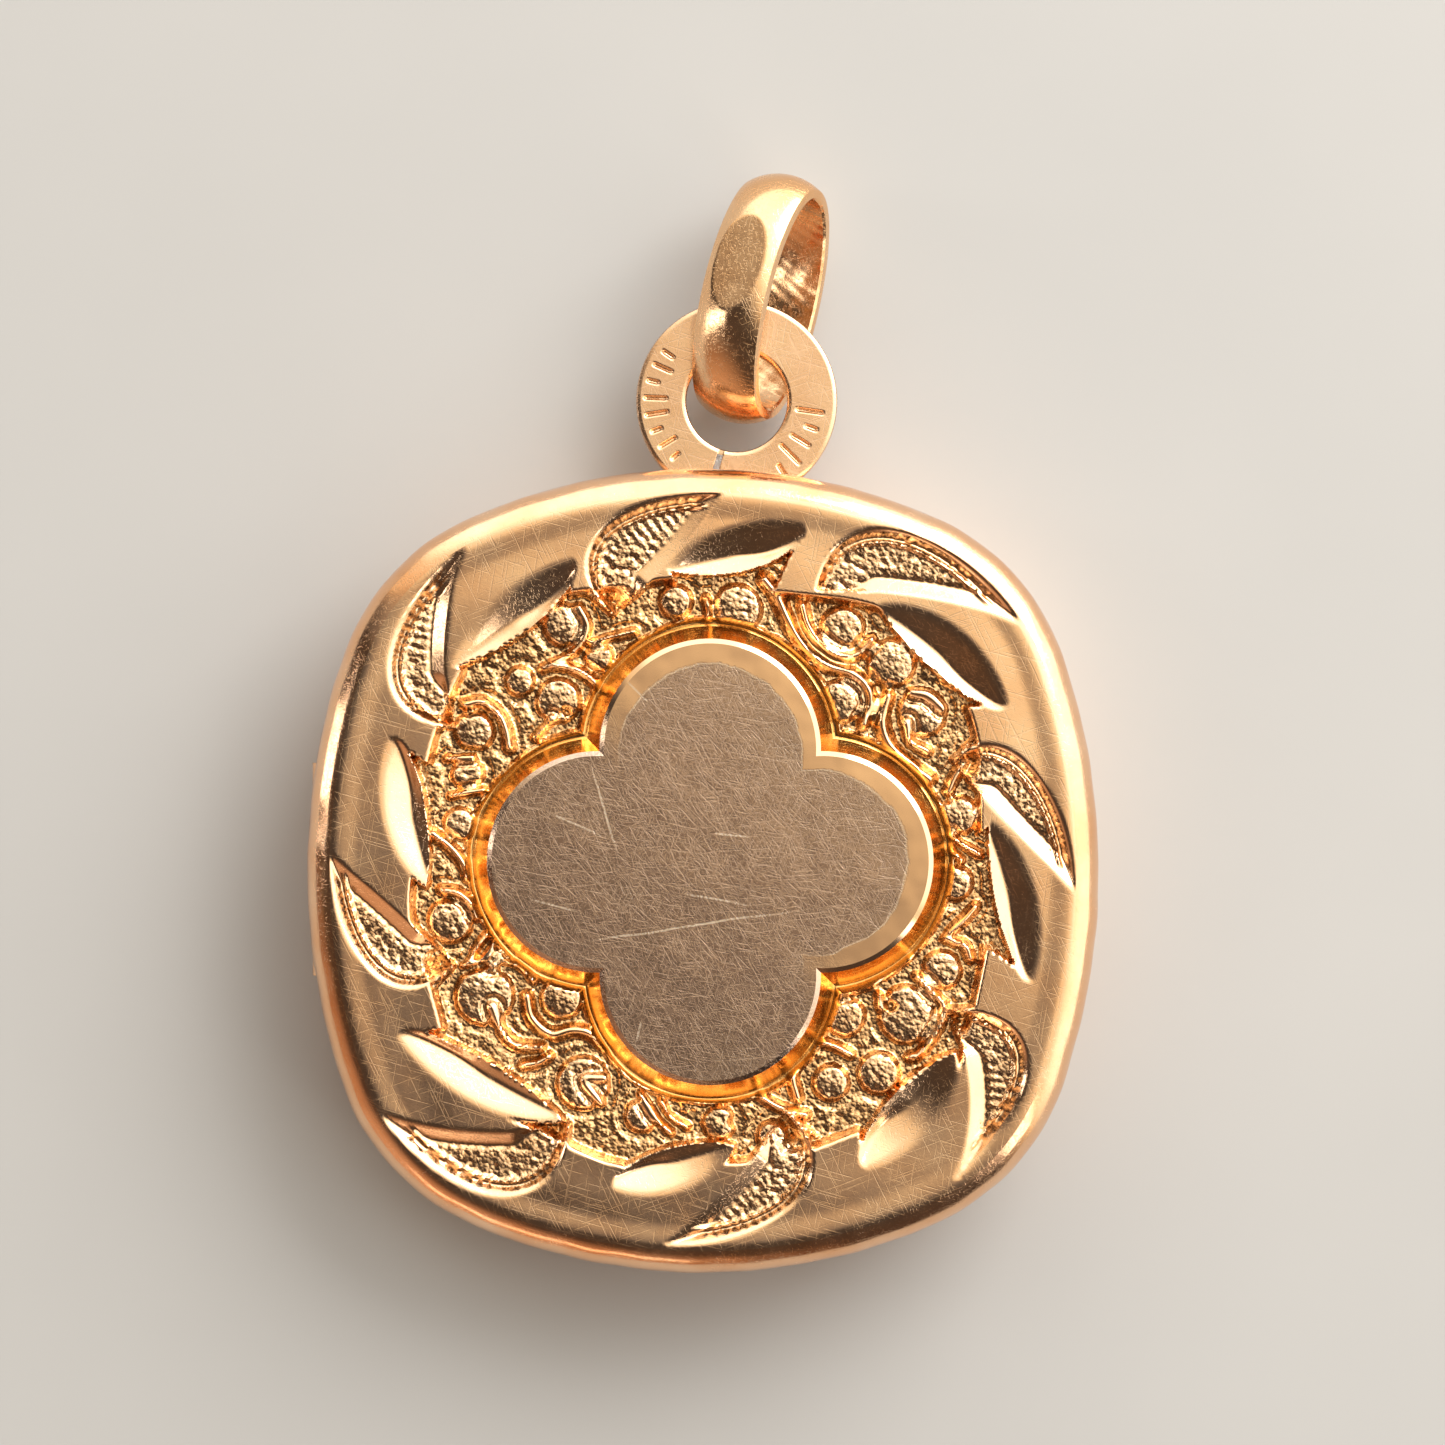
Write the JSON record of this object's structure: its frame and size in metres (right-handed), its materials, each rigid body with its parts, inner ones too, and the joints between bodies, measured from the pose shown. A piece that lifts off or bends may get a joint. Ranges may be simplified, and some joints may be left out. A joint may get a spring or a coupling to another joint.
{
  "type": "hinged picture locket",
  "caption": "Cushion-shaped gold picture locket with a chased quatrefoil front, hinged cover, soldered hanging ring and loose oval bail.",
  "frame": {"origin": "middle of the case's flat back, which is also the face it rests on", "axes": "+Z out of the chased front, +Y towards the hanging ring, +X towards the nail lip; the hinge is at -X"},
  "size_m": [0.022, 0.0308, 0.0047],
  "materials": {
    "rose_gold": "polished rose gold, lightly worn",
    "chased_gold": "chased, polished high points, granulated hollows",
    "ring_gold": "brushed flat washer, punched marks",
    "bail_gold": "polished half-round band, worn outside",
    "inner_gilt": "satin gilt",
    "grey_solder": "tarnished grey solder",
    "gold_solder": "gold solder fillet",
    "cover_glass": "clear",
    "blank_card": "aged blank card",
    "filler_pad": "plain pad"
  },
  "bodies": {
    "case": {"back_plate": "rose_gold", "back_frame": "rose_gold", "back_knuckle_bottom": "rose_gold", "back_knuckle_middle": "rose_gold", "back_knuckle_top": "rose_gold", "hinge_pin": "rose_gold", "hanging_ring": "ring_gold", "closing_flange": "inner_gilt", "snap_bead": "inner_gilt", "back_picture_frame": "inner_gilt", "ring_seam_solder": "grey_solder", "ring_foot_solder": "gold_solder", "back_glass": "cover_glass", "back_picture_card": "blank_card", "back_filler": "filler_pad"},
    "cover": {"front_frame": "rose_gold", "front_plate": "chased_gold", "thumb_lip": "rose_gold", "front_knuckle_bottom": "rose_gold", "front_knuckle_top": "rose_gold", "front_picture_frame": "inner_gilt", "front_glass": "cover_glass", "front_picture_card": "blank_card"},
    "bail": {"bail": "bail_gold"}
  },
  "joints": [
    {"name": "cover_hinge", "type": "hinge", "parent": "case", "child": "cover", "pos_m": [-0.01055, 0, 0.0025], "axis": [0, -1, 0], "range_deg": [0, 130]},
    {"name": "bail_swing", "type": "hinge", "parent": "case", "child": "bail", "pos_m": [0.00138, 0.015, 0.00211], "axis": [0.8743, -0.2083, 0.4384], "range_deg": [-120, 120]}
  ]
}
